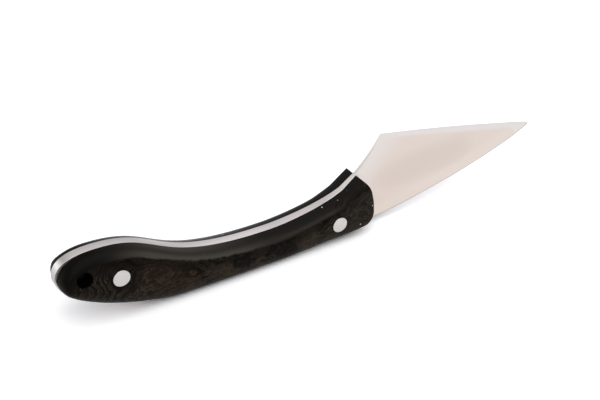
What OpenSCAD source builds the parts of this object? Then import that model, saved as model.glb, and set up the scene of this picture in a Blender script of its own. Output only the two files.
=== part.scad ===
// Camping knife: a fixed blade whose full tang runs between two contoured handle scales.
// X runs from the butt to the point, Y across the thickness, Z from the back up to the cutting edge.
// It stands on the level back of its handle at Z = 0, with X = 0 and Y = 0 at the middle of its
// length and thickness. Profile sizes along X are measured from the butt.

/* [Steel] */
// Thickness of the blade and tang
stock_t = 4; // [3.4:0.1:4.6]
// Length of the blade ahead of the scales' top corner
blade_len = 100; // [90:1:110]
// Height of the point above the level back
point_z = 24.2; // [22:0.2:28]
// How far ahead of the scales' top corner the heel stands
heel_ahead = 12.9; // [9:0.1:15]
// Height of the heel above the level back
heel_z = 43.2; // [40:0.1:47]
// How far the edge from the scales to the heel hollows in
heel_sag = 0.8; // [0.1:0.1:1.2]
// Slope of the cutting edge at the heel
heel_slope = 9.8; // [8:0.2:11]
// Slope of the cutting edge where it turns down to the point
tip_slope = 13.5; // [12.5:0.1:16]
// Length of the turn at the point
tip_len = 4; // [3:0.2:6]
// How far the cutting edge drops in its turn at the point
tip_drop = 1.75; // [1.4:0.05:2.2]
// Height of the flat grind, square to the cutting edge
grind_h = 38; // [35:0.5:39]
// Thickness left at the cutting edge before it is sharpened
edge_t = 0.4; // [0.3:0.05:0.7]
// Height of the sharpened bevel
bevel_h = 1.3; // [0.8:0.1:2]
// Thickness of the sharpened edge
sharp_t = 0.12; // [0.1:0.01:0.2]

/* [Handle profile] */
// Length of the handle from the butt to the scales' top corner
handle_len = 135.3; // [125:0.1:145]
// Height of the rearmost point of the butt
butt_z = 23.4; // [22:0.1:26]
// Distance of the hump's top from the butt
hump_x = 15.6; // [13:0.1:18]
// Height of the hump's top
hump_z = 33.1; // [30.1:0.5:37.1]
// Distance of the waist from the butt
waist_x = 91.4; // [82:0.1:98]
// Height of the waist's lowest point
waist_z = 15.25; // [13.5:0.05:18]
// Distance of the bend in the neck behind the scales' top corner
neck_len = 6.8; // [4:0.2:9]
// Height of the bend in the neck
neck_z = 22.15; // [20.5:0.05:24]
// Height of the scales' top corner
front_z = 27.1; // [25.1:0.5:30.1]
// Slope of the belly where it reaches the bend
neck_slope = 25; // [18:1:31]
// Distance from the butt at which the back becomes level
level_start = 51.4; // [46:0.1:57]
// Distance from the butt at which the back starts to rise
level_end = 92.6; // [86:0.1:99]
// Height of the spine where it leaves the scales
spine_z = 2.35; // [2:0.05:4]
// Slope of the spine where it leaves the scales
spine_slope = 2.2; // [1:0.1:5]
// Slope of the spine where it reaches the point
point_slope = 31; // [24:1:38]

/* [Profile curves] */
// Reach of the butt's curve up toward the hump
butt_up = 5.3; // [4:0.1:7]
// Reach of the hump's curve back toward the butt
hump_back = 12.5; // [9:0.1:15]
// Reach of the hump's curve forward
hump_ahead = 29.2; // [20:0.1:36]
// Reach of the waist's curve back
waist_back = 53.5; // [44:0.5:58]
// Reach of the waist's curve forward
waist_ahead = 9; // [6:0.5:14]
// Reach of the neck's curve back
neck_back = 11.7; // [8:0.1:16]
// Reach of the butt's curve down toward the back
butt_down = 10.8; // [8:0.1:14]
// Reach of the level back's curve toward the butt
level_back = 19.2; // [14:0.1:26]
// Reach of the spine's curve back under the scales
spine_back = 12.8; // [9:0.1:18]
// Reach of the spine's curve ahead of the scales
spine_ahead = 22; // [16:1:30]
// Reach of the spine's curve back from the point
point_back = 19; // [12:1:24]

/* [Scales] */
// Thickness of each scale at its crown
scale_t = 7; // [6:0.1:8]
// How far each scale's butt end stands in from the tang's
butt_inset = 0.65; // [0.3:0.05:1]
// Reach of a scale's butt curve up toward the hump
scale_up = 2; // [1:0.1:4]
// Length over which the butt rounds up to full thickness
butt_round = 3; // [2:0.1:5]
// Squareness of the section along the handle, where 2 is an ellipse
body_square = 2.7; // [2.2:0.1:3.4]
// Squareness of the section at the front
front_square = 6.3; // [5:0.1:7.5]
// Distance from the butt at which the section starts to square up
square_start = 114.8; // [105:0.1:119]
// How far the front end bulges ahead of its top corner
front_bulge = 5; // [4:0.1:6]
// Height at which the front end bulges most
bulge_z = 10.9; // [10:0.1:13]
// Slope of the front end at its top corner
front_slope = 37; // [30:1:45]
// Reach of the front end's curve from its top corner
front_turn = 4; // [3:0.1:5]
// Length of the front end's lower corner
foot_len = 7.3; // [5:0.1:9]
// Reach of the lower corner's curve down from the bulge
foot_drop = 3.2; // [2:0.1:5]
// Glue line between each scale and the tang
glue_line = 0.1; // [0.05:0.01:0.15]

/* [Rivets and lanyard hole] */
// Distance of the rear rivet from the butt
rear_rivet_x = 23.6; // [21:0.1:27]
// Height of the rear rivet above the middle of the profile
rear_rivet_lift = 1.7; // [0:0.1:3]
// Distance of the front rivet behind the scales' top corner
front_rivet_back = 12.6; // [11:0.2:16]
// How far the front rivet stands below the middle of the profile
front_rivet_drop = 0.25; // [0:0.05:1]
// Radius of a rivet's head
head_r = 3.5; // [3.1:0.1:3.9]
// Thickness of a rivet's head
head_t = 2.6; // [2:0.1:3.2]
// Radius of the hollow half's barrel
barrel_r = 2.5; // [2.2:0.1:2.7]
// Radius of the solid half's shank
shank_r = 1.5; // [1.2:0.1:1.8]
// Clearance round each rivet's head and barrel
rivet_gap = 0.05; // [0.03:0.01:0.1]
// How far the solid half's shank reaches past the tang
shank_reach = 1.5; // [1:0.1:2]
// Room left beyond the end of the shank
shank_room = 0.5; // [0.3:0.1:0.8]
// Distance of the lanyard hole from the butt
lanyard_x = 9.5; // [8.9:0.1:11]
// Height of the lanyard hole above the middle of the profile
lanyard_lift = 2.8; // [1.5:0.1:3.4]
// Radius of the lanyard hole
lanyard_r = 3.1; // [2.7:0.05:3.4]

/* [Hidden] */
$fn = 64;
BUTT_STEPS = 15;
INSET_STEPS = 8;
HANDLE_STEPS = 26;
ROUND_STEPS = 22;
CURVE_STEPS = 16;
EDGE_STEPS = 7;
TIP_STEPS = 3;
HEEL_STEPS = 5;
HALVINGS = 26;
// Length by which a cutting shape runs past what it cuts, and edge of a cut with no limit
BEYOND = 10;
CUT = 400;
// Least distance between two stations along a scale
STATION_GAP = 0.5;
// Depth by which a joined piece sinks into the one it grows from
SINK = 0.5;

overall_len = handle_len + blade_len;
neck_x = handle_len - neck_len;
neck_rise = (front_z - neck_z) / neck_len;
front_rivet_x = handle_len - front_rivet_back;

function bezier(p, t) =
    (1 - t)^3 * p[0] + 3 * (1 - t)^2 * t * p[1] + 3 * (1 - t) * t^2 * p[2] + t^3 * p[3];
function sampled(p, n) = [for (i = [0 : n]) bezier(p, i / n)];
// Step of a given length up a slope, and the steepness of the line between two points
function climb(reach, slope) = reach * [cos(slope), sin(slope)];
function slope_of(a, b) = atan2(b[1] - a[1], b[0] - a[0]);

// Height of a curve that runs forward, found by halving
function height_at(p, x, lo = 0, hi = 1, n = HALVINGS) =
    let (mid = (lo + hi) / 2)
    n == 0 ? bezier(p, mid)[1]
    : bezier(p, mid)[0] < x ? height_at(p, x, mid, hi, n - 1)
    : height_at(p, x, lo, mid, n - 1);

butt = [0, butt_z];
hump = [hump_x, hump_z];
waist = [waist_x, waist_z];
neck = [neck_x, neck_z];
corner = [handle_len, front_z];
spine_start = [handle_len + front_bulge, spine_z];
point = [overall_len, point_z];
heel = [handle_len + heel_ahead, heel_z];
tip = [overall_len - tip_len, point_z + tip_drop];

hump_curve = [butt, butt + [0, butt_up], hump - [hump_back, 0], hump];
waist_curve = [hump, hump + [hump_ahead, 0], waist - [waist_back, 0], waist];
neck_curve = [waist, waist + [waist_ahead, 0], neck - climb(neck_back, neck_slope), neck];
butt_curve = [butt, butt - [0, butt_down], [level_start - level_back, 0], [level_start, 0]];
// The scales' butt end stands in from the tang's and joins its outline further on
inset = [butt_inset, butt_z];
scale_hump_curve = [inset, inset + [0, scale_up], hump - [hump_back, 0], hump];
scale_butt_curve = [inset, inset - [0, butt_down], [level_start - level_back, 0], [level_start, 0]];

// The back rises under the scales' front end, and the spine runs on from there to the point
rise_curve = [
    [level_end, 0],
    [(level_end + spine_start[0]) / 2, 0],
    spine_start - climb(spine_back, spine_slope),
    spine_start
];
spine_curve = [
    spine_start,
    spine_start + climb(spine_ahead, spine_slope),
    point - climb(point_back, point_slope),
    point
];

// The cutting edge bows a little and turns down over its last few millimetres
edge_reach = norm(tip - heel) / 3;
edge_curve = [heel, heel + climb(edge_reach, -heel_slope), tip - climb(edge_reach, -tip_slope), tip];
tip_turn = tip + climb(tip_len / 2, -tip_slope);
tip_curve = [tip, tip_turn, tip_turn, point];
edge_points = concat(sampled(edge_curve, EDGE_STEPS), [for (i = [1 : TIP_STEPS]) bezier(tip_curve, i / TIP_STEPS)]);

// Upper and lower edges of the tang's profile, or of a scale's where its own butt curve is given
function belly(x, first = hump_curve) =
    x <= first[0][0] ? butt_z
    : x < hump_x ? height_at(first, x)
    : x < waist_x ? height_at(waist_curve, x)
    : x < neck_x ? height_at(neck_curve, x)
    : neck_z + (x - neck_x) * neck_rise;
function back(x, first = butt_curve) =
    x <= first[0][0] ? butt_z
    : x < level_start ? height_at(first, x)
    : x < level_end ? 0
    : x < spine_start[0] ? height_at(rise_curve, x)
    : spine_z + (x - spine_start[0]) * tan(spine_slope);
function scale_belly(x) = belly(x, scale_hump_curve);
function scale_back(x) = back(x, scale_butt_curve);
function middle(x) = (scale_belly(x) + scale_back(x)) / 2;
function half_depth(x) = (scale_belly(x) - scale_back(x)) / 2;

// Stations along the handle, close together where the butt turns
butt_end = 2 * hump_x;
stations = concat(
    [for (i = [0 : BUTT_STEPS - 1]) butt_end * (1 - cos(90 * i / BUTT_STEPS))],
    [for (i = [0 : HANDLE_STEPS - 1]) butt_end + (neck_x - butt_end) * i / HANDLE_STEPS],
    [neck_x, handle_len]
);
round_end = butt_inset + butt_round;
scale_stations = concat(
    [for (i = [0 : INSET_STEPS - 1]) butt_inset + butt_round * (1 - cos(90 * i / INSET_STEPS))],
    [round_end],
    [for (x = stations) if (x > round_end + STATION_GAP) x],
    [handle_len + BEYOND]
);

// The edge from the scales up to the heel hollows in square to its chord
heel_chord = slope_of(corner, heel);
heel_line = [
    for (i = [1 : HEEL_STEPS - 1])
        let (t = i / HEEL_STEPS)
        corner + t * (heel - corner) + climb(heel_sag * 4 * t * (1 - t), heel_chord - 90)
];
steel_outline = concat(
    [for (x = stations) [x, belly(x)]],
    heel_line,
    edge_points,
    [for (i = [CURVE_STEPS - 1 : -1 : 0]) bezier(spine_curve, i / CURVE_STEPS)],
    [for (i = [CURVE_STEPS - 1 : -1 : 0]) bezier(rise_curve, i / CURVE_STEPS)],
    [for (i = [len(stations) - 1 : -1 : 1]) if (stations[i] < level_start) [stations[i], back(stations[i])]]
);

grind_angle = atan((stock_t - edge_t) / 2 / grind_h);
bevel_angle = atan((edge_t - sharp_t) / 2 / bevel_h);
// The grind is let run back this far from the heel, which is past where it leaves the tang
grind_run = 1.5 * grind_h;

// Side outline of a scale's front end, from its top corner round to the back
bulge_x = handle_len + front_bulge;
foot = [bulge_x - foot_len, back(bulge_x - foot_len)];
front_curve = [corner, corner + climb(front_turn, -front_slope), [bulge_x, (front_z + bulge_z) / 2], [bulge_x, bulge_z]];
foot_curve = [[bulge_x, bulge_z], [bulge_x, bulge_z - foot_drop], foot + [foot_len / 2, 0], foot];
scale_outline = concat(
    [[-BEYOND, -BEYOND], [-BEYOND, hump_z + BEYOND], [neck_x, hump_z + BEYOND]],
    sampled(front_curve, CURVE_STEPS),
    [for (i = [1 : CURVE_STEPS]) bezier(foot_curve, i / CURVE_STEPS)],
    [[foot[0], -BEYOND]]
);

// The section's squareness grows toward the front, and the butt rounds off
function ease(t) = let (c = max(0, min(1, t))) c * c * (3 - 2 * c);
function square_at(x) = body_square + (front_square - body_square) * ease((x - square_start) / (handle_len - square_start));
function round_at(x) = x >= round_end ? 1 : sqrt(max(0, 1 - ((round_end - x) / butt_round)^2));
// Distance of a scale's outer face from the middle plane
function face_y(x, z) =
    let (w = min(1, abs(z - middle(x)) / half_depth(x)))
    stock_t / 2 + scale_t * round_at(x) * sqrt(max(0, 1 - w^square_at(x)));

function rivet_z(x) = middle(x) + (x == rear_rivet_x ? rear_rivet_lift : -front_rivet_drop);
// Distance from the middle plane to the floor of a rivet's seat
function seat_y(x) = face_y(x, rivet_z(x)) - head_t;
lanyard_z = middle(lanyard_x) + lanyard_lift;

// Colours, as the photograph shows them
STEEL = [0.84, 0.80, 0.78];
PIN = [0.79, 0.78, 0.76];
LAMINATE = [0.13, 0.11, 0.09];

// Sets a profile drawn from the butt into the part's frame, upright, with its thickness along Y
module upright(thickness) {
    translate([-overall_len / 2, thickness / 2, 0])
        rotate([90, 0, 0])
            linear_extrude(thickness)
                children();
}

// Round bar along Y between two distances from the middle plane
module bar(x, z, r, y0, y1) {
    translate([x - overall_len / 2, y1, z])
        rotate([90, 0, 0])
            cylinder(r = r, h = y1 - y0);
}

// Steel that a flat cut takes off both faces above the line from one point of the edge to another
module edge_cuts(from, to, angle, thickness) {
    translate([from[0] - overall_len / 2, 0, from[1]])
        rotate([0, -slope_of(from, to), 0])
            for (side = [-1, 1])
                translate([0, side * thickness / 2, 0])
                    rotate([side * angle, 0, 0])
                        translate([-grind_run, side > 0 ? 0 : -2 * stock_t, -CUT / 2])
                            cube([CUT, 2 * stock_t, CUT]);
}

// Flat-ground bar without its outline, grown on each face by the glue line where a scale is fitted
module ground_slab(grow) {
    difference() {
        translate([-CUT / 2, -stock_t / 2 - grow, -CUT / 2])
            cube([CUT, stock_t + 2 * grow, CUT]);
        edge_cuts(heel, point, grind_angle, edge_t + 2 * grow);
    }
}

module blade() {
    color(STEEL)
        difference() {
            upright(stock_t)
                polygon(steel_outline);
            edge_cuts(heel, point, grind_angle, edge_t);
            for (i = [1 : len(edge_points) - 1])
                edge_cuts(edge_points[i - 1], edge_points[i], bevel_angle, sharp_t);
            for (x = [rear_rivet_x, front_rivet_x])
                bar(x, rivet_z(x), barrel_r + rivet_gap, -stock_t, stock_t);
            bar(lanyard_x, lanyard_z, lanyard_r, -stock_t, stock_t);
        }
}

// One ring of the scale's skin: the rounded face from the back to the belly, then its two foot points
function ring(x) = concat(
    [for (j = [0 : ROUND_STEPS])
        let (a = -90 + 180 * j / ROUND_STEPS, s = sin(a))
        [
            x,
            stock_t / 2 + scale_t * round_at(x) * cos(a),
            middle(x) + half_depth(x) * sign(s) * abs(s)^(2 / square_at(x))
        ]],
    [[x, 0, scale_belly(x)], [x, 0, scale_back(x)]]
);

// Contoured blank that runs on past the front end; the butt closes to a single line across
module blank() {
    n = ROUND_STEPS + 3;
    rings = [for (i = [1 : len(scale_stations) - 1]) ring(scale_stations[i])];
    last = (len(rings) - 1) * n + 2;
    points = concat([[butt_inset, stock_t / 2, butt_z], [butt_inset, 0, butt_z]], [for (r = rings) each r]);
    faces = concat(
        [for (j = [0 : ROUND_STEPS - 1]) [0, 2 + j, 3 + j]],
        [[0, n - 1, n], [0, n, 1], [0, 1, n + 1], [0, n + 1, 2], [1, n, n + 1]],
        [for (i = [0 : len(rings) - 2], j = [0 : n - 1])
            let (a = 2 + i * n + j, b = 2 + i * n + (j + 1) % n)
            each [[a, a + n, b + n], [a, b + n, b]]],
        [for (j = [1 : n - 2]) [last, last + j + 1, last + j]]
    );
    translate([-overall_len / 2, 0, 0])
        polyhedron(points, faces);
}

// Scale on the +Y side of the tang
module scale_body() {
    outside = stock_t / 2 + scale_t + BEYOND;
    difference() {
        intersection() {
            blank();
            upright(2 * outside)
                polygon(scale_outline);
        }
        ground_slab(glue_line);
        for (x = [rear_rivet_x, front_rivet_x]) {
            bar(x, rivet_z(x), barrel_r + rivet_gap, -BEYOND, outside);
            bar(x, rivet_z(x), head_r + rivet_gap, seat_y(x), outside);
        }
        bar(lanyard_x, lanyard_z, lanyard_r, -BEYOND, outside);
    }
}

module right_scale() {
    color(LAMINATE)
        scale_body();
}

module left_scale() {
    color(LAMINATE)
        mirror([0, 1, 0])
            scale_body();
}

// Rivet head on the +Y side, ground flush with the scale round it
module head(x) {
    z = rivet_z(x);
    top = face_y(x, z);
    lean_x = (face_y(x + head_r, z) - face_y(x - head_r, z)) / (2 * head_r);
    lean_z = (face_y(x, z + head_r) - face_y(x, z - head_r)) / (2 * head_r);
    difference() {
        bar(x, z, head_r, seat_y(x), top + head_r);
        translate([x - overall_len / 2, top, z])
            rotate([-atan(lean_z), 0, atan(lean_x)])
                translate([-2 * head_r, 0, -2 * head_r])
                    cube(4 * head_r);
    }
}

// Hollow half of a rivet: a head on the left scale, with a barrel that reaches through the tang
module hollow_half(x) {
    z = rivet_z(x);
    color(PIN)
        difference() {
            union() {
                mirror([0, 1, 0])
                    head(x);
                bar(x, z, barrel_r, -seat_y(x) - SINK, seat_y(x) - rivet_gap);
            }
            bar(x, z, shank_r + rivet_gap, -stock_t / 2 - shank_reach - shank_room, stock_t / 2 + scale_t);
        }
}

// Solid half of a rivet: a head on the right scale, with a shank that is pressed into the barrel
module solid_half(x) {
    color(PIN)
        union() {
            head(x);
            bar(x, rivet_z(x), shank_r, -stock_t / 2 - shank_reach, seat_y(x) + SINK);
        }
}

module rear_rivet_barrel() {
    hollow_half(rear_rivet_x);
}

module rear_rivet_pin() {
    solid_half(rear_rivet_x);
}

module front_rivet_barrel() {
    hollow_half(front_rivet_x);
}

module front_rivet_pin() {
    solid_half(front_rivet_x);
}

blade();
left_scale();
right_scale();
rear_rivet_barrel();
rear_rivet_pin();
front_rivet_barrel();
front_rivet_pin();
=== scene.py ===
import math

import bmesh
import bpy
import numpy as np
from mathutils import Matrix


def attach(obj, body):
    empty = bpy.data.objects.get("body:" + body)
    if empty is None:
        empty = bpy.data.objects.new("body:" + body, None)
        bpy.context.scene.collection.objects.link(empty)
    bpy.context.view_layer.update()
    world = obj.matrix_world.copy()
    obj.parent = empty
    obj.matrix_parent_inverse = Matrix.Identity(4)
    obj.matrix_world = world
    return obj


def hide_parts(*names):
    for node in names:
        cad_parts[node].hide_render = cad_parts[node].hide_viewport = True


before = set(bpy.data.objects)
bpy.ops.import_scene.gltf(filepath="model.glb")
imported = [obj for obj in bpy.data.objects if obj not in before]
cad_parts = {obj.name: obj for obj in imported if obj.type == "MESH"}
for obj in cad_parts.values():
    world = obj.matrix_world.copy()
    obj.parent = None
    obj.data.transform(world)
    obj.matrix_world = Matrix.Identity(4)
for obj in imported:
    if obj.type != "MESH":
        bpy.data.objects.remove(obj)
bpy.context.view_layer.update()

# Camera
# The knife is seen from its left, from above and behind the butt, with the point away to the
# right. The three axes are the camera's right, up and back, in the part's own frame.
camera_place = (-0.195186, -0.301815, 0.248966)
camera_right = (0.85188, -0.52374, 0.0)
camera_up = (0.28159, 0.45801, 0.84317)
camera_back = (-0.44160, -0.71828, 0.53765)
camera_lens = 60.0
camera_film = 36.0

camera = bpy.data.objects.new("camera", bpy.data.cameras.new("camera"))
bpy.context.scene.collection.objects.link(camera)
turn = Matrix((camera_right, camera_up, camera_back)).transposed().to_4x4()
camera.matrix_world = Matrix.Translation(camera_place) @ turn
camera.data.lens = camera_lens
camera.data.sensor_width = camera_film
bpy.context.scene.camera = camera

# Blade and tang
# One bar of stainless steel, cut to its outline and flat ground to the cutting edge, so the tang
# tapers too. Its faces are rubbed to a satin along their length and its edges are broken. Sizes
# are in millimetres, from the butt, from the middle plane and from the floor.
MM = 0.001
stock_t = 4.0
blade_len = 100.0
grind_h = 38.0
edge_t = 0.4
bevel_h = 1.3
sharp_t = 0.12
steel_break = 0.12
spine_break = 0.35
heel_break = 0.30

# The outline's own points, with the slopes of those where it isn't level
handle_len = 135.3
butt_z = 23.4
hump = (15.6, 33.1)
waist = (91.4, 15.25)
neck = (128.5, 22.15)
neck_slope = math.radians(25)
corner = (handle_len, 27.1)
level_start = 51.4
level_end = 92.6
spine_start = (140.3, 2.35)
spine_slope = math.radians(2.2)
heel_ahead = 12.9
heel_z = 43.2
heel_sag = 0.8
heel_slope = math.radians(9.8)
tip_len = 4.0
tip_drop = 1.75
tip_slope = math.radians(13.5)
point_z = 24.2
point_slope = math.radians(31)
overall_len = handle_len + blade_len
heel = (handle_len + heel_ahead, heel_z)
point = (overall_len, point_z)
tip = (overall_len - tip_len, point_z + tip_drop)

# How far each curve's inner poles stand from its ends
butt_up = 5.3
butt_down = 10.8
hump_back = 12.5
hump_ahead = 29.2
waist_back = 53.5
waist_ahead = 9.0
neck_back = 11.7
level_back = 19.2
spine_back = 12.8
spine_ahead = 22.0
point_back = 19.0
curve_points = 200


def climb(start, reach, slope):
    """The point a given reach away from the start, up a slope."""
    return start[0] + reach * math.cos(slope), start[1] + reach * math.sin(slope)


def bezier(*poles):
    """Cubic curve of four poles, each weighted by its share of the binomial (1 - t + t) cubed."""
    t = np.linspace(0, 1, curve_points)[:, None]
    a, b, c, d = np.array(poles, float)
    return (1 - t) ** 3 * a + 3 * (1 - t) ** 2 * t * b + 3 * (1 - t) * t**2 * c + t**3 * d


def heights(*curves):
    """Height as a function of the distance from the butt, read off curves laid end to end."""
    line = np.concatenate(curves)
    return lambda x: np.interp(x, line[:, 0], line[:, 1])


waist_curve = bezier(
    hump,
    (hump[0] + hump_ahead, hump[1]),
    (waist[0] - waist_back, waist[1]),
    waist,
)
neck_curve = bezier(
    waist,
    (waist[0] + waist_ahead, waist[1]),
    climb(neck, -neck_back, neck_slope),
    neck,
)
rise_curve = bezier(
    (level_end, 0),
    ((level_end + spine_start[0]) / 2, 0),
    climb(spine_start, -spine_back, spine_slope),
    spine_start,
)
spine_curve = bezier(
    spine_start,
    climb(spine_start, spine_ahead, spine_slope),
    climb(point, -point_back, point_slope),
    point,
)
# The line up to the heel is a chord with a parabola's sag across it
heel_chord = math.atan2(heel[1] - corner[1], heel[0] - corner[0])
heel_share = np.linspace(0, 1, curve_points)[:, None]
heel_hollow = heel_sag * 4 * heel_share * (1 - heel_share)
heel_line = (
    np.array(corner)
    + heel_share * (np.array(heel) - np.array(corner))
    + heel_hollow * np.array([math.sin(heel_chord), -math.cos(heel_chord)])
)
edge_reach = math.dist(tip, heel) / 3
edge_curve = bezier(
    heel,
    climb(heel, edge_reach, -heel_slope),
    climb(tip, -edge_reach, -tip_slope),
    tip,
)
tip_turn = climb(tip, tip_len / 2, -tip_slope)
tip_curve = bezier(tip, tip_turn, tip_turn, point)


def butt_ends(inset, reach_up):
    """Upper and lower curves of a butt end that stands in from X = 0 by the inset."""
    end = (inset, butt_z)
    upper = bezier(end, (inset, butt_z + reach_up), (hump[0] - hump_back, hump[1]), hump)
    level = (level_start, 0)
    lower = bezier(end, (inset, butt_z - butt_down), (level_start - level_back, 0), level)
    return upper, lower


tang_hump, tang_butt = butt_ends(0.0, butt_up)
steel_top = heights(tang_hump, waist_curve, neck_curve, heel_line, edge_curve, tip_curve)
steel_back = heights(tang_butt, rise_curve, spine_curve)

grind_slope = math.atan2(heel[1] - point[1], point[0] - heel[0])
grind_gain = (stock_t - edge_t) / 2 / grind_h
bevel_gain = (edge_t - sharp_t) / 2 / bevel_h


def ground_half(x, z):
    """Half the bar's thickness where it is ground: it grows evenly with the distance below the
    straight line from the heel to the point, up to the full bar."""
    below = (heel[1] - (x - heel[0]) * math.tan(grind_slope) - z) * math.cos(grind_slope)
    return np.minimum(stock_t / 2, edge_t / 2 + below * grind_gain)


def edge_line(x):
    """Height of the cutting edge, run on straight behind the heel."""
    return np.where(x < heel[0], heel[1] + (heel[0] - x) * math.tan(heel_slope), steel_top(x))


def steel_half(x, z):
    """Half the steel's thickness: the grind's, or the sharpened bevel's where that is less. The
    bevel grows evenly with the distance square to the cutting edge."""
    slope = np.gradient(edge_line(x[:, 0]), x[:, 0])[:, None]
    below = (edge_line(x) - z) / np.sqrt(1 + slope**2)
    return np.minimum(ground_half(x, z), sharp_t / 2 + below * bevel_gain)


def stretch(start, end, count):
    """Even stations from the start up to, but without, the end."""
    return np.linspace(start, end, count, endpoint=False)


# Stations along the steel are closest where its outline turns most: at the butt, heel and point
quarter = math.pi / 2
hump_end = 2 * hump[0]
heel_fine = 3
steel_stations = np.concatenate([
    hump_end * (1 - np.cos(stretch(0, quarter, 40))),
    stretch(hump_end, neck[0], 80),
    stretch(neck[0], corner[0], 8),
    stretch(corner[0], heel[0], 16),
    heel[0] + stretch(0, heel_fine, 8),
    stretch(heel[0] + heel_fine, tip[0], 60),
    tip[0] + tip_len * np.sin(np.linspace(0, quarter, 14)),
])


def pierced(x, z, holes, spare=0.45, rings=6):
    """Cuts round holes in a sheet given by the x and z of its grid. The block of cells round each
    hole gives way to rings from the block's border to the circle: each ring point is a blend of a
    border point and the circle's point in the same direction. Returns the cells that stay, and the
    rings' x and z for each hole."""
    keep = np.ones((x.shape[0] - 1, x.shape[1] - 1), bool)
    patches = []
    for middle_x, middle_z, radius in holes:
        near = np.hypot(x - middle_x, z - middle_z) < radius + spare
        i = np.flatnonzero(near.any(1))
        j = np.flatnonzero(near.any(0))
        i0, i1, j0, j1 = i[0] - 1, i[-1] + 1, j[0] - 1, j[-1] + 1
        keep[i0:i1, j0:j1] = False
        row = np.r_[np.full(j1 - j0, i0), i0:i1, np.full(j1 - j0, i1), i1:i0:-1]
        column = np.r_[j0:j1, np.full(i1 - i0, j1), j1:j0:-1, np.full(i1 - i0, j0)]
        border_x, border_z = x[row, column], z[row, column]
        angle = np.arctan2(border_z - middle_z, border_x - middle_x)
        share = np.linspace(0, 1, rings + 1)[:, None]
        ring_x = border_x + share * (middle_x + radius * np.cos(angle) - border_x)
        ring_z = border_z + share * (middle_z + radius * np.sin(angle) - border_z)
        patches.append((ring_x, ring_z))
    return keep, patches


class Shell:
    """Grids of points gathered into one closed mesh. Points are distances from the butt, the middle
    plane and the floor in millimetres; the finished mesh stands in the part's frame in metres."""

    weld_gap = 2e-6
    least_edge = 1e-7

    def __init__(self):
        self.points = []
        self.faces = []
        self.count = 0

    def grid(self, x, y, z, keep=True, ring=False):
        """Adds the cells of one grid; a ring also joins its last column to its first."""
        x, y, z = np.broadcast_arrays(x, y, z)
        rows, columns = x.shape
        index = self.count + np.arange(rows * columns).reshape(rows, columns)
        after = np.roll(index, -1, 1) if ring else index[:, 1:]
        first = index if ring else index[:, :-1]
        cells = np.stack([first[:-1], first[1:], after[1:], after[:-1]], -1)
        self.faces.append(cells[np.broadcast_to(keep, cells.shape[:2])])
        self.points.append(np.stack([x - overall_len / 2, y, z], -1).reshape(-1, 3))
        self.count += rows * columns

    def finish(self, name, crease=math.radians(32)):
        """Welds the grids where they meet, turns every face outward and makes the object."""
        points = np.concatenate(self.points) * MM
        faces = np.concatenate(self.faces)
        mesh = bpy.data.meshes.new(name)
        mesh.from_pydata(points.tolist(), [], faces.tolist())
        work = bmesh.new()
        work.from_mesh(mesh)
        bmesh.ops.remove_doubles(work, verts=work.verts, dist=self.weld_gap)
        bmesh.ops.dissolve_degenerate(work, edges=work.edges, dist=self.least_edge)
        bmesh.ops.recalc_face_normals(work, faces=work.faces)
        work.to_mesh(mesh)
        work.free()
        mesh.shade_smooth()
        mesh.set_sharp_from_angle(angle=crease)
        piece = bpy.data.objects.new(name, mesh)
        bpy.context.scene.collection.objects.link(piece)
        return piece


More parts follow.
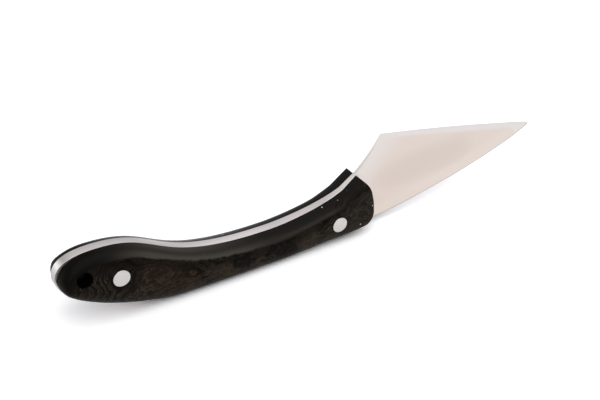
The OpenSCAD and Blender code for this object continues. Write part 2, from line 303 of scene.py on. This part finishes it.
class Wire:
    """One output socket of a node tree. Arithmetic on it adds the Math node that works it out, with
    the socket on either side, and node() adds any other node."""

    def __init__(self, tree, socket=None):
        self.tree = tree
        self.socket = socket

    def node(self, kind, settings, sockets, output=0):
        """Adds a node: first its settings, a ramp's stops among them, then its sockets."""
        node = self.tree.nodes.new(kind)
        for name, value in settings.items():
            if name == "stops":
                elements = node.color_ramp.elements
                elements[0].position = value[0][0]
                elements[1].position = value[-1][0]
                for place, _ in value[1:-1]:
                    elements.new(place)
                for element, (_, colour) in zip(elements, value):
                    element.color = (*colour, 1.0)
            else:
                setattr(node, name, value)
        for name, value in sockets.items():
            if isinstance(value, Wire):
                self.tree.links.new(value.socket, node.inputs[name])
            else:
                node.inputs[name].default_value = value
        return Wire(self.tree, node.outputs[output])

    def math(self, operation, *values):
        """A Math node on this socket and up to two more values."""
        sockets = dict(enumerate([self, *values]))
        return self.node("ShaderNodeMath", {"operation": operation}, sockets)

    def __add__(self, other):
        return self.math("ADD", other)

    __radd__ = __add__

    def __mul__(self, other):
        return self.math("MULTIPLY", other)

    __rmul__ = __mul__

    def __sub__(self, other):
        return self.math("SUBTRACT", other)

    def __rsub__(self, other):
        return self.node("ShaderNodeMath", {"operation": "SUBTRACT"}, {0: other, 1: self})

    def squared(self):
        """This value times itself."""
        return self * self

    def axis(self, name):
        """One coordinate of this place."""
        return self.node("ShaderNodeSeparateXYZ", {}, {"Vector": self}, name)

    def noise(self, scale, detail=2.0, roughness=0.5):
        """Smooth noise from 0 to 1 at this place, with that many waves to a metre."""
        sockets = {"Vector": self, "Scale": scale, "Detail": detail, "Roughness": roughness}
        return self.node("ShaderNodeTexNoise", {}, sockets)

    def stretched(self, x, y, z):
        """This place with each axis multiplied."""
        sockets = {"Vector": self, "Scale": (x, y, z)}
        return self.node("ShaderNodeMapping", {"vector_type": "POINT"}, sockets)

    def ramp(self, *stops):
        """Colours or greys along this value."""
        return self.node("ShaderNodeValToRGB", {"stops": stops}, {"Fac": self})

    def profile(self, line, start, end, count=24):
        """The height of a profile line at this distance from the butt, run straight between stops."""
        shares = np.linspace(0, 1, count)
        levels = line(start + shares * (end - start)) / heel_z
        stops = [(float(share), (float(level),) * 3) for share, level in zip(shares, levels)]
        return ((self - start) * (1 / (end - start))).ramp(*stops) * heel_z

    def smooth(self, low, high):
        """A step from 0 to 1 between two values, eased at both ends."""
        sockets = {"Value": self, "From Min": low, "From Max": high}
        return self.node("ShaderNodeMapRange", {"interpolation_type": "SMOOTHSTEP"}, sockets)

    def blend(self, first, second):
        """The first colour where this value is 0 and the second where it is 1."""
        return self.node("ShaderNodeMix", {"data_type": "RGBA"}, {0: self, 6: first, 7: second}, 2)

    def layered(self, *coats):
        """This colour with more colours laid over it in turn, each by its own share from 0 to 1."""
        tone = self
        for share, colour in coats:
            tone = share.blend(tone, colour if isinstance(colour, Wire) else (*colour, 1.0))
        return tone

    def bump(self, strength, distance):
        """The surface's normal where this value is its relief."""
        sockets = {"Strength": strength, "Distance": distance, "Height": self}
        return self.node("ShaderNodeBump", {}, sockets)


def material(name, **constants):
    """A new material, its Principled shader with constant sockets set, and the place on the piece."""
    made = bpy.data.materials.new(name)
    made.use_nodes = True
    shader = made.node_tree.nodes["Principled BSDF"]
    for socket, value in constants.items():
        shader.inputs[socket.replace("_", " ")].default_value = value
    place = Wire(made.node_tree).node("ShaderNodeTexCoord", {}, {}, "Object")
    return made, shader, place


def plug(shader, **wires):
    """Links wires to a shader's sockets."""
    for socket, wire in wires.items():
        wire.tree.links.new(wire.socket, shader.inputs[socket.replace("_", " ")])


# The tang's holes lie by the middle of the scales, so the scales' profile comes here
scale_t = 7.0
butt_inset = 0.65
scale_up = 2.0
butt_round = 3.0
corner_reach = 10
scale_hump, scale_butt = butt_ends(butt_inset, scale_up)
corner_climb = corner_reach * (corner[1] - neck[1]) / (corner[0] - neck[0])
corner_run = np.array([corner, (corner[0] + corner_reach, corner[1] + corner_climb)])
scale_top = heights(scale_hump, waist_curve, neck_curve, corner_run)
scale_back = heights(scale_butt, rise_curve, spine_curve)


def middle(x):
    """Height of the middle of a scale's profile."""
    return (scale_top(x) + scale_back(x)) / 2


def half_depth(x):
    """Half the depth of a scale's profile."""
    return (scale_top(x) - scale_back(x)) / 2


lanyard_r = 3.1
barrel_hole_r = 2.55
lanyard = (9.5, float(middle(9.5)) + 2.8)
rear_rivet = (23.6, float(middle(23.6)) + 1.7)
front_rivet = (122.7, float(middle(122.7)) - 0.25)

# The breaks of the edges give way where the steel is thin or shallow
thin_share = 0.45
depth_share = 0.3
along = steel_stations[:, None]
top = steel_top(along)
low = steel_back(along)
depth = top - low
heel_rise = (along > corner[0]) & (along < heel[0])
top_break = np.where(heel_rise, heel_break, steel_break)
top_limit = np.minimum(thin_share * steel_half(along, top), depth_share * depth)
top_break = np.minimum(top_break, top_limit)
low_break = np.where(along > spine_start[0], spine_break, steel_break)
low_limit = np.minimum(thin_share * steel_half(along, low), depth_share * depth)
low_break = np.minimum(low_break, low_limit)
side_top = top - top_break
side_low = low + low_break
side_depth = side_top - side_low

# Rows of the sides: a few on the bevel, most on the grind, and the rest on the flat of the bar
bevel_over = 1.04
bevel_span = (0.01, 0.12)
grind_span = (0.50, 0.06)
bevel_z = np.clip(
    edge_line(along) - bevel_over * bevel_h,
    side_top - bevel_span[1] * side_depth,
    side_top - bevel_span[0] * side_depth,
)
grind_z = np.clip(
    heel[1] - (along - heel[0]) * math.tan(grind_slope) - grind_h / math.cos(grind_slope),
    side_low + grind_span[1] * side_depth,
    side_top - grind_span[0] * side_depth,
)
side_z = np.concatenate(
    [
        side_top + (bevel_z - side_top) * np.linspace(0, 1, 3),
        bevel_z + (grind_z - bevel_z) * np.linspace(0, 1, 23)[1:],
        grind_z + (side_low - grind_z) * np.linspace(0, 1, 13)[1:],
    ],
    1,
)
side_x = np.broadcast_to(along, side_z.shape)
bend = np.linspace(0, quarter, 5)
upper_y = steel_half(along, side_top) - top_break * (1 - np.sin(bend))
lower_y = steel_half(along, side_low) - low_break * (1 - np.cos(bend))
upper_z = side_top + top_break * np.cos(bend)
lower_z = side_low - low_break * np.sin(bend)
crown_y = np.concatenate([0 * top, upper_y], 1)
crown_z = np.concatenate([top, upper_z], 1)
spine_y = np.concatenate([lower_y, 0 * low], 1)
spine_z = np.concatenate([lower_z, low], 1)

steel = Shell()
steel_holes = [(*lanyard, lanyard_r), (*rear_rivet, barrel_hole_r), (*front_rivet, barrel_hole_r)]
steel_keep, steel_patches = pierced(side_x, side_z, steel_holes)
for side in (1, -1):
    steel.grid(side_x, side * steel_half(side_x, side_z), side_z, steel_keep)
    steel.grid(along, side * crown_y, crown_z)
    steel.grid(along, side * spine_y, spine_z)
    for ring_x, ring_z in steel_patches:
        steel.grid(ring_x, side * ground_half(ring_x, ring_z), ring_z, ring=True)
for ring_x, ring_z in steel_patches:
    bore_wall = ground_half(ring_x[-1:], ring_z[-1:]) * np.array([[1], [-1]])
    steel.grid(ring_x[-1:], bore_wall, ring_z[-1:], ring=True)
blade = steel.finish("satin_blade_and_tang")

# Satin: a fine rub along the blade, over broad clouds of tone. Distances are in millimetres.
satin, shader, place = material("satin_steel", Metallic=1.0, IOR=2.5)
rub = place.stretched(60, 400, 2200).noise(1.0, 3.0, 0.6)
cloud = place.noise(28.0, 2.0)
patch = place.stretched(1.0, 1.0, 1.6).noise(55.0, 3.0)
from_butt = place.axis("X") * 1000 + overall_len / 2
height = place.axis("Z") * 1000
from_heel = from_butt - heel[0]
below_edge = heel[1] - from_heel * math.tan(grind_slope) - height
below_rim = from_butt.profile(steel_top, 0, handle_len, 30) - height
above_spine = height - from_butt.profile(steel_back, spine_start[0], overall_len)

# The steel grows a little warmer from the heel forward, and is lighter near the spine
ahead_of_heel = (from_heel + 0.8 * below_edge + 8 * cloud).smooth(7, 22)
near_spine = above_spine.smooth(9, 4)
# A duller band crosses the middle of the blade
across_band = ((below_edge + 0.26 * from_heel - 21.5) * 0.125).squared()
along_band = ((from_heel - 25) * 0.036).squared().squared()
dull_band = (across_band + along_band + 0.9 * patch).smooth(2.0, 0.3)
# A lighter strip runs along the cutting edge, wider at the point
strip_width = 1.5 + 0.6 * cloud + 4.0 * from_heel.smooth(75, 82)
edge_strip = (below_edge - strip_width).smooth(1.1, -1.0) * from_heel.smooth(-6.0, 2.0)
# A thin dark line along the spine is painted shade on its broken edge
painted_spine_shade = above_spine.smooth(0.75, 0.35) * from_butt.smooth(139, 141)
# The tang's edge has its own tones along the handle, with painted light over them: a painted glint
# near the butt and painted lighter and darker stretches along it. They were set until the render
# matched the photograph's levels there, so they hold some of its studio light beside the wear of the
# steel.
tang_edge = below_rim.smooth(0.30, 0.12) * from_butt.smooth(136, 134)
tang_tone_and_painted_light = (from_butt * (1 / handle_len)).ramp(
    (0.0, (0.455, 0.445, 0.445)),
    (0.017, (0.900, 0.870, 0.840)),
    (0.035, (0.500, 0.480, 0.475)),
    (0.060, (0.642, 0.596, 0.572)),
    (0.170, (0.675, 0.638, 0.628)),
    (0.270, (0.838, 0.790, 0.776)),
    (0.375, (0.860, 0.787, 0.776)),
    (0.470, (0.863, 0.813, 0.789)),
    (0.620, (0.853, 0.792, 0.797)),
    (0.700, (0.715, 0.660, 0.667)),
    (0.780, (0.748, 0.683, 0.677)),
    (0.890, (0.654, 0.602, 0.592)),
    (0.960, (0.790, 0.745, 0.705)),
    (1.0, (0.790, 0.745, 0.705)),
)
# The lanyard hole's wall is painted near black: painted shade inside the hole
from_hole = (from_butt - lanyard[0]).squared() + (height - lanyard[1]).squared()
painted_hole_shade = from_hole.smooth((lanyard_r + 0.5) ** 2, (lanyard_r + 0.3) ** 2)
steel_tone = ahead_of_heel.blend((0.750, 0.698, 0.662, 1), (0.728, 0.640, 0.588, 1)).layered(
    (near_spine, (0.752, 0.672, 0.614)),
    (dull_band, (0.666, 0.589, 0.540)),
    (edge_strip, (0.752, 0.708, 0.695)),
    (painted_spine_shade, (0.440, 0.425, 0.415)),
    (tang_edge, tang_tone_and_painted_light),
    (painted_hole_shade, (0.004, 0.004, 0.004)),
)
plug(shader, Base_Color=steel_tone, Roughness=0.30 + 0.06 * rub + 0.05 * patch)
plug(shader, Normal=rub.bump(0.12, 0.00002))
blade.data.materials.append(satin)
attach(blade, "root")
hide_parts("blade")

# Handle scales
# Two slabs of a dark layered laminate, glued and riveted to the tang and then shaped and rubbed
# down together. The shaping cuts through the wavy layers, so they show as contour lines.
body_square = 2.7
front_square = 6.3
square_start = 114.8
front_bulge_x = 140.3
bulge_z = 10.9
front_slope = math.radians(37)
front_turn = 4.0
foot_len = 7.3
foot_drop = 3.2
glue_line = 0.1
head_r = 3.5
head_t = 2.6
rivet_gap = 0.05
front_break = 0.15
mouth_break = 0.15
seat_break = 0.06
foot_x = front_bulge_x - foot_len
foot = (foot_x, float(scale_back(foot_x)))
front_curve = bezier(
    corner,
    climb(corner, front_turn, -front_slope),
    (front_bulge_x, (corner[1] + bulge_z) / 2),
    (front_bulge_x, bulge_z),
)
foot_curve = bezier(
    (front_bulge_x, bulge_z),
    (front_bulge_x, bulge_z - foot_drop),
    (foot_x + foot_len / 2, foot[1]),
    foot,
)
front_line = np.concatenate([front_curve, foot_curve])[::-1]


def squareness(x):
    """Exponent of the section: an eased step from the body's to the front end's."""
    share = np.clip((x - square_start) / (handle_len - square_start), 0, 1)
    return body_square + (front_square - body_square) * share**2 * (3 - 2 * share)


def butt_fullness(x):
    """Share of the full thickness: a quarter ellipse over the butt's round, then 1."""
    short = np.clip((butt_inset + butt_round - x) / butt_round, 0, 1)
    return np.sqrt(1 - short**2)


def face_y(x, z):
    """Distance of a scale's face from the middle plane: half the bar, and the scale's thickness
    times the root of 1 less w to the squareness, where w is the share of the half depth."""
    w = np.clip(np.abs(z - middle(x)) / np.maximum(half_depth(x), 1e-6), 0, 1)
    return stock_t / 2 + scale_t * butt_fullness(x) * np.sqrt(1 - w ** squareness(x))


def glue_y(x, z):
    """Distance of a scale's glued face from the middle plane."""
    return ground_half(x, z) + glue_line


section = np.linspace(-quarter, quarter, 61)[None]


def skin_z(x):
    """Height of each line of the skin, whose sine is spread by the section's exponent."""
    s = np.sin(section)
    return middle(x) + half_depth(x) * np.sign(s) * np.abs(s) ** (2 / squareness(x))


# Each line of the skin ends where it meets the curve of the front end
tried_x = np.linspace(neck[0], front_bulge_x, 600)[:, None]
beyond = tried_x - np.interp(skin_z(tried_x), front_line[:, 1], front_line[:, 0])
skin_end = tried_x[np.argmax(beyond >= 0, 0), 0][None]
skin_end[:, 0] = foot_x
skin_end[:, -1] = handle_len
butt_full = butt_inset + butt_round
scale_stations = np.concatenate([
    butt_inset + butt_round * (1 - np.cos(stretch(0, quarter, 14))),
    butt_full + stretch(0, 1, 20) ** 1.2 * (hump_end - butt_inset - butt_round),
    stretch(hump_end, neck[0], 80),
    np.linspace(neck[0], handle_len, 12),
])[:, None]
pull = np.clip((scale_stations - square_start) / (handle_len - square_start), 0, 1)
body_x = scale_stations + (skin_end - front_break - handle_len) * pull
front_bend = np.linspace(0, quarter, 7)[1:, None]
skin_x = np.concatenate([body_x, skin_end - front_break * (1 - np.sin(front_bend))])
skin_rows_z = skin_z(skin_x)
drop = np.concatenate([0 * scale_stations, front_break * (1 - np.cos(front_bend))])
inner_y = glue_y(skin_x, skin_rows_z)
full_y = stock_t / 2 + scale_t * butt_fullness(skin_x) * np.cos(section)
skin_y = np.maximum(full_y - drop, inner_y)
seat_r = head_r + rivet_gap
scale_holes = [
    (*lanyard, lanyard_r + mouth_break),
    (*rear_rivet, seat_r + seat_break),
    (*front_rivet, seat_r + seat_break),
]
head_seat = (seat_r, barrel_hole_r, seat_break)
scale_bores = [(lanyard_r, lanyard_r, mouth_break), head_seat, head_seat]
scale_keep, scale_patches = pierced(skin_x, skin_rows_z, scale_holes)

# Laminate: distances are in millimetres, from the butt, below the rim and above the back
laminate, shader, place = material(
    "layered_laminate", IOR=1.5, Specular_IOR_Level=0.03, Coat_IOR=1.5, Coat_Roughness=0.15
)
from_butt = place.axis("X") * 1000 + overall_len / 2
apart = place.axis("Y") * 1000
height = place.axis("Z") * 1000
below_rim = from_butt.profile(scale_top, 0, handle_len, 30) - height
above_back = height - from_butt.profile(scale_back, 0, handle_len, 30)
wave = place.stretched(1.0, 1.0, 1.4).noise(52.0, 1.0, 0.5)
ripple = place.noise(210.0, 3.0, 0.6)
mottle = place.noise(120.0, 3.0, 0.6)
cloud = place.noise(34.0, 2.0, 0.5)
fleck = place.noise(420.0, 2.0, 0.6)
grain = place.stretched(250, 900, 900).noise(1.0, 2.0)

# The layers dip toward the butt and toward the ridge, where they show as arcs and fine lines
layers = apart.math("ABSOLUTE")
arc_x = (from_butt - 29).math("MINIMUM", 0)
arcs = (arc_x.squared() + (height - 19).squared()).math("SQRT").math("MAXIMUM", 8)
ridge_dip = (8 - below_rim).math("MAXIMUM", 0)
field = 0.7 * layers + 5.4 * wave + 1.9 * ripple + 0.30 * arcs + 0.5 * ridge_dip
contour = field.math("PINGPONG", 0.5) * 2
warm = contour.ramp(
    (0.0, (0.0026, 0.0016, 0.0011)),
    (0.35, (0.0060, 0.0038, 0.0025)),
    (0.62, (0.0290, 0.0188, 0.0120)),
    (0.74, (0.0430, 0.0285, 0.0190)),
    (0.86, (0.0100, 0.0064, 0.0043)),
    (1.0, (0.0040, 0.0026, 0.0018)),
)
olive = contour.ramp(
    (0.0, (0.0022, 0.0018, 0.0013)),
    (0.42, (0.0058, 0.0049, 0.0034)),
    (0.70, (0.0390, 0.0328, 0.0220)),
    (0.84, (0.0090, 0.0076, 0.0052)),
    (1.0, (0.0036, 0.0030, 0.0022)),
)

# Over the lines lie clouds and mottle, a paler front end, brown patches along the middle of the
# handle, a paler lower edge, darker places at the butt, round the rear rivet and under the ridge
patches = place.stretched(0.7, 1.0, 1.0).noise(190.0, 3.0, 0.6).smooth(0.47, 0.57)
mid_handle = from_butt.smooth(34, 60) * from_butt.smooth(128, 108)
low_edge = above_back.smooth(9, 2.5) * from_butt.smooth(40, 62)
from_rivet = (from_butt - rear_rivet[0] - 2).squared() + (height - rear_rivet[1]).squared()
ridge_rise = 0.8 * from_butt.smooth(36, 50) * from_butt.smooth(98, 82)
ridge = 3.95 - ridge_rise - 3.0 * from_butt.smooth(98, 124)
past_ridge = below_rim + 1.2 * ripple - ridge
figure = mottle.smooth(0.42, 0.58).blend(olive, warm).layered(
    (0.50 * cloud.smooth(0.50, 0.66), (0.0270, 0.0165, 0.0100)),
    (0.80 * cloud.smooth(0.46, 0.32), (0.0030, 0.0022, 0.0016)),
    (0.55 * mottle.smooth(0.50, 0.68), (0.0170, 0.0148, 0.0108)),
    (0.35 * from_butt.smooth(112, 132), (0.0300, 0.0260, 0.0200)),
    (0.55 * mid_handle * patches, (0.0400, 0.0290, 0.0205)),
    (0.40 * low_edge, (0.0300, 0.0245, 0.0190)),
    (0.50 * from_butt.smooth(15, 6), (0.0030, 0.0024, 0.0018)),
    (0.60 * from_rivet.smooth(70, 20), (0.0030, 0.0024, 0.0018)),
    (0.50 * fleck.smooth(0.44, 0.66), (0.0022, 0.0017, 0.0013)),
    (0.60 * past_ridge.smooth(6.5, 2.0), (0.0030, 0.0023, 0.0017)),
)

# The figure closes up to an even tone on the shoulder, above the ridge, with painted reflections over
# it: a lighter band down the shoulder and another just under the rim. These lighter parts were matched
# to the photograph's levels too, and are painted highlights.
painted_shoulder_highlight = below_rim.smooth(0.3, 2.6) * from_butt.smooth(16, 40) * from_butt.smooth(104, 68)
painted_rim_highlight = below_rim.smooth(1.6, 0.0) * from_butt.smooth(20, 46) * from_butt.smooth(94, 46)
shoulder = painted_shoulder_highlight.blend((0.0095, 0.0083, 0.0070, 1), (0.0480, 0.0422, 0.0352, 1)).layered(
    (painted_rim_highlight, (0.0440, 0.0395, 0.0350)),
    (0.85 * from_butt.smooth(28, 9), (0.0024, 0.0018, 0.0013)),
)
# Toward the front a narrow painted highlight lies along the shoulder by the ridge
ridge_band = below_rim.smooth(1.3, 2.2) * below_rim.smooth(3.5, 2.6)
painted_ridge_highlight = ridge_band * from_butt.smooth(86, 98) * from_butt.smooth(128, 118)
# A few small bright specks are scattered over the scales
speck_field = place.node("ShaderNodeTexVoronoi", {}, {"Vector": place, "Scale": 200.0}, "Distance")
specks = speck_field.smooth(0.064, 0.040) * place.noise(41.0, 0.0).smooth(0.46, 0.48)
# The lanyard hole's wall is painted black here too: painted shade inside the hole
from_hole = (from_butt - lanyard[0]).squared() + (height - lanyard[1]).squared()
painted_hole_shade = from_hole.smooth((lanyard_r + 0.25) ** 2, (lanyard_r + 0.05) ** 2)
scale_tone = past_ridge.smooth(0.0, 0.9).blend(shoulder, figure).layered(
    (0.80 * painted_ridge_highlight, (0.0270, 0.0225, 0.0185)),
    (specks, (0.62, 0.62, 0.60)),
    (painted_hole_shade, (0.001, 0.001, 0.001)),
)

# The right scale's shoulder and the lower edges of both scales have the most polish
right_shoulder = apart.smooth(0.5, 1.5) * below_rim.smooth(3.0, 1.2)
right_shoulder = right_shoulder * from_butt.smooth(125, 20) * from_butt.smooth(8, 30)
polished = right_shoulder + 0.5 * above_back.smooth(3.0, 0.8) * from_butt.smooth(34, 62)
dullness = 0.26 + 0.10 * grain + 0.08 * contour
relief = 0.6 * contour + 0.4 * grain
plug(shader, Base_Color=scale_tone, Roughness=dullness, Coat_Weight=polished)
plug(shader, Normal=relief.bump(0.15, 0.00003))

# A scale is closed from its skin, its glued face, the two long borders, the wall at the front, and
# for each hole the rings on both faces with the wall between them
for name, side in (("right", 1), ("left", -1)):
    scale = Shell()
    scale.grid(skin_x, side * skin_y, skin_rows_z, scale_keep)
    scale.grid(skin_x, side * inner_y, skin_rows_z, scale_keep)
    for edge in (slice(0, 1), slice(-1, None)):
        border_y = np.concatenate([skin_y[:, edge], inner_y[:, edge]], 1)
        scale.grid(skin_x[:, edge], side * border_y, skin_rows_z[:, edge])
    front_wall = skin_y[-1:] + np.linspace(0, 1, 5)[:, None] * (inner_y[-1:] - skin_y[-1:])
    scale.grid(skin_x[-1:], side * front_wall, skin_rows_z[-1:])
    for hole, rings, bore in zip(scale_holes, scale_patches, scale_bores):
        ring_x, ring_z = rings
        mouth_r, inner_r, rounding = bore
        way = np.arctan2(ring_z[-1:] - hole[1], ring_x[-1:] - hole[0])
        scale.grid(ring_x, side * face_y(ring_x, ring_z), ring_z, ring=True)
        mouth = mouth_r + rounding * (1 - np.sin(bend))[:, None]
        fall = rounding * (1 - np.cos(bend))[:, None]
        mouth_y = face_y(ring_x[-1:], ring_z[-1:]) - fall
        # A plain bore runs through to the glued face; a rivet's seat has a flat floor first
        if mouth_r == inner_r:
            floor_y = glue_y(ring_x[-1:], ring_z[-1:])
        else:
            floor_y = face_y(hole[0], hole[1]) - head_t
        inner_x = hole[0] + inner_r * np.cos(way)
        inner_z = hole[1] + inner_r * np.sin(way)
        radius = np.concatenate([mouth, [[mouth_r], [inner_r], [inner_r]]])
        floor_ring = floor_y + 0 * way
        bore_y = np.concatenate([mouth_y, floor_ring, floor_ring, glue_y(inner_x, inner_z)])
        bore_x = hole[0] + radius * np.cos(way)
        bore_z = hole[1] + radius * np.sin(way)
        scale.grid(bore_x, side * bore_y, bore_z, ring=True)
        share = np.linspace(0, 1, ring_x.shape[0])[:, None]
        back_x = ring_x[:1] + share * (inner_x - ring_x[:1])
        back_z = ring_z[:1] + share * (inner_z - ring_z[:1])
        scale.grid(back_x, side * glue_y(back_x, back_z), back_z, ring=True)
    piece = scale.finish(name + "_laminate_scale")
    piece.data.materials.append(laminate)
    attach(piece, "root")
    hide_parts(name + "_scale")

# Rivets
# Cutlery rivets of stainless steel hold the scales: a hollow half is pressed in from the left and a
# solid half from the right. Their heads are filed flush, so they follow the scales' faces.
barrel_r = 2.5
shank_r = 1.5
shank_reach = 1.5
shank_room = 0.5
rim_break = 0.14
round_count = 72
head_rings = 13

filed, shader, place = material("filed_stainless_steel", Metallic=1.0, IOR=2.5)
files = place.stretched(1500, 300, 500).noise(1.0, 3.0, 0.6)
dull_patch = 0.5 * place.noise(260.0, 2.0).smooth(0.35, 0.70)
front_share = place.axis("X").smooth(-0.02, 0.02)
rivet_tone = front_share.blend((0.600, 0.582, 0.563, 1), (0.700, 0.676, 0.652, 1)).layered(
    (dull_patch, (0.610, 0.595, 0.575)),
)
plug(shader, Base_Color=rivet_tone, Roughness=0.30 + 0.10 * files)
plug(shader, Normal=files.bump(0.15, 0.00002))

round_about = stretch(0, 2 * math.pi, round_count)[None]
rim_radii = head_r - rim_break * (1 - np.sin(bend))
flat_radii = stretch(0, head_r - rim_break, head_rings)
head_radii = np.concatenate([flat_radii, rim_radii])[:, None]
head_fall = np.concatenate([np.zeros(head_rings), rim_break * (1 - np.cos(bend))])[:, None]
tube_r = shank_r + rivet_gap
for end, (rivet_x, rivet_z) in (("rear", rear_rivet), ("front", front_rivet)):
    seat_y = float(face_y(rivet_x, rivet_z)) - head_t
    head_x = rivet_x + head_radii * np.cos(round_about)
    head_z = rivet_z + head_radii * np.sin(round_about)
    head_y = face_y(head_x, head_z) - head_fall
    # Levels are distances from the middle plane, positive toward the half's own head
    shank_end = -stock_t / 2 - shank_reach
    tube_end = rivet_gap - seat_y
    tube_floor = shank_room - shank_end
    barrel_radii = (head_r, barrel_r, barrel_r, tube_r, tube_r, 0)
    barrel_levels = (seat_y, seat_y, tube_end, tube_end, tube_floor, tube_floor)
    pin_radii = (head_r, shank_r, shank_r, 0)
    pin_levels = (seat_y, seat_y, shank_end, shank_end)
    halves = (("barrel", -1, barrel_radii, barrel_levels), ("pin", 1, pin_radii, pin_levels))
    for half, side, radii, levels in halves:
        stem_radii = np.array(radii)[:, None]
        stem_x = rivet_x + stem_radii * np.cos(round_about)
        stem_z = rivet_z + stem_radii * np.sin(round_about)
        stem_y = np.array(levels)[:, None] + 0 * stem_x
        whole_x = np.concatenate([head_x, stem_x])
        whole_y = np.concatenate([head_y, stem_y])
        whole_z = np.concatenate([head_z, stem_z])
        rivet = Shell()
        rivet.grid(whole_x, side * whole_y, whole_z, ring=True)
        piece = rivet.finish(end + "_rivet_" + half + "_half")
        piece.data.materials.append(filed)
        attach(piece, "root")
        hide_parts(end + "_rivet_" + half)

# Table and light
# A wide sheet of white paper, very faintly uneven in tone, under a large soft lamp. The camera
# sees it a little lighter than it is, and fading to white far from the knife.
table_half = 3.0
table_line = np.linspace(-1, 1, 3) * table_half / MM
table = Shell()
table.grid(table_line[:, None], table_line[None], 0.0)
sheet = table.finish("table")
paper, shader, place = material(
    "white_table", Roughness=0.85, Specular_IOR_Level=0.1, Emission_Strength=1.0
)
mist = place.noise(9.0, 2.0)
seen = place.node("ShaderNodeLightPath", {}, {}, "Is Camera Ray")
paper_tone = mist.smooth(0.3, 0.7).blend((0.915, 0.915, 0.925, 1), (0.930, 0.930, 0.935, 1))
far_off = place.node("ShaderNodeVectorMath", {"operation": "LENGTH"}, {0: place}, "Value")
fade = far_off.smooth(0.5, 1.6) * seen
plug(shader, Base_Color=seen.blend(paper_tone, (1.16, 1.16, 1.172, 1)))
plug(shader, Emission_Color=fade.blend((0, 0, 0, 1), (0.4, 0.4, 0.4, 1)))
sheet.data.materials.append(paper)

lamp_side = 1.0
lamp_power = 7.0
lamp_place = (-0.12, -0.46, 0.98)
lamp = bpy.data.lights.new("soft_lamp", "AREA")
lamp.shape = "RECTANGLE"
lamp.size = lamp_side
lamp.size_y = lamp_side
lamp.energy = lamp_power
lamp_object = bpy.data.objects.new("soft_lamp", lamp)
bpy.context.scene.collection.objects.link(lamp_object)
lamp_object.location = lamp_place
lamp_object.rotation_mode = "QUATERNION"
lamp_object.rotation_quaternion = lamp_object.location.to_track_quat("Z", "Y")

# The room that lights and mirrors in the knife is pale below, dim just above the horizon and
# brighter overhead, with a window on the far side of the butt. The camera sees it as plain white.
window_heading = (-0.69, 0.72, 0.10)
room = bpy.data.worlds.new("pale_room")
bpy.context.scene.world = room
room.use_nodes = True
backdrop = room.node_tree.nodes["Background"]
heading = Wire(room.node_tree).node("ShaderNodeTexCoord", {}, {}, "Generated")
seen = heading.node("ShaderNodeLightPath", {}, {}, "Is Camera Ray")
glow = (heading.axis("Z") * 0.5 + 0.5).ramp(
    (0.0, (0.92, 0.92, 0.93)),
    (0.50, (0.92, 0.92, 0.93)),
    (0.505, (0.45, 0.45, 0.46)),
    (0.62, (0.46, 0.46, 0.47)),
    (0.70, (0.66, 0.66, 0.67)),
    (0.78, (0.82, 0.82, 0.83)),
    (1.0, (0.74, 0.74, 0.75)),
)
toward_window = heading.node(
    "ShaderNodeVectorMath", {"operation": "DOT_PRODUCT"}, {0: heading, 1: window_heading}, "Value"
)
room_tone = glow.layered((toward_window.smooth(0.90, 0.98), (1.25, 1.25, 1.25)))
plug(backdrop, Color=seen.blend(room_tone, (1.0, 1.0, 1.0, 1)))
bpy.context.scene.view_settings.view_transform = "Standard"
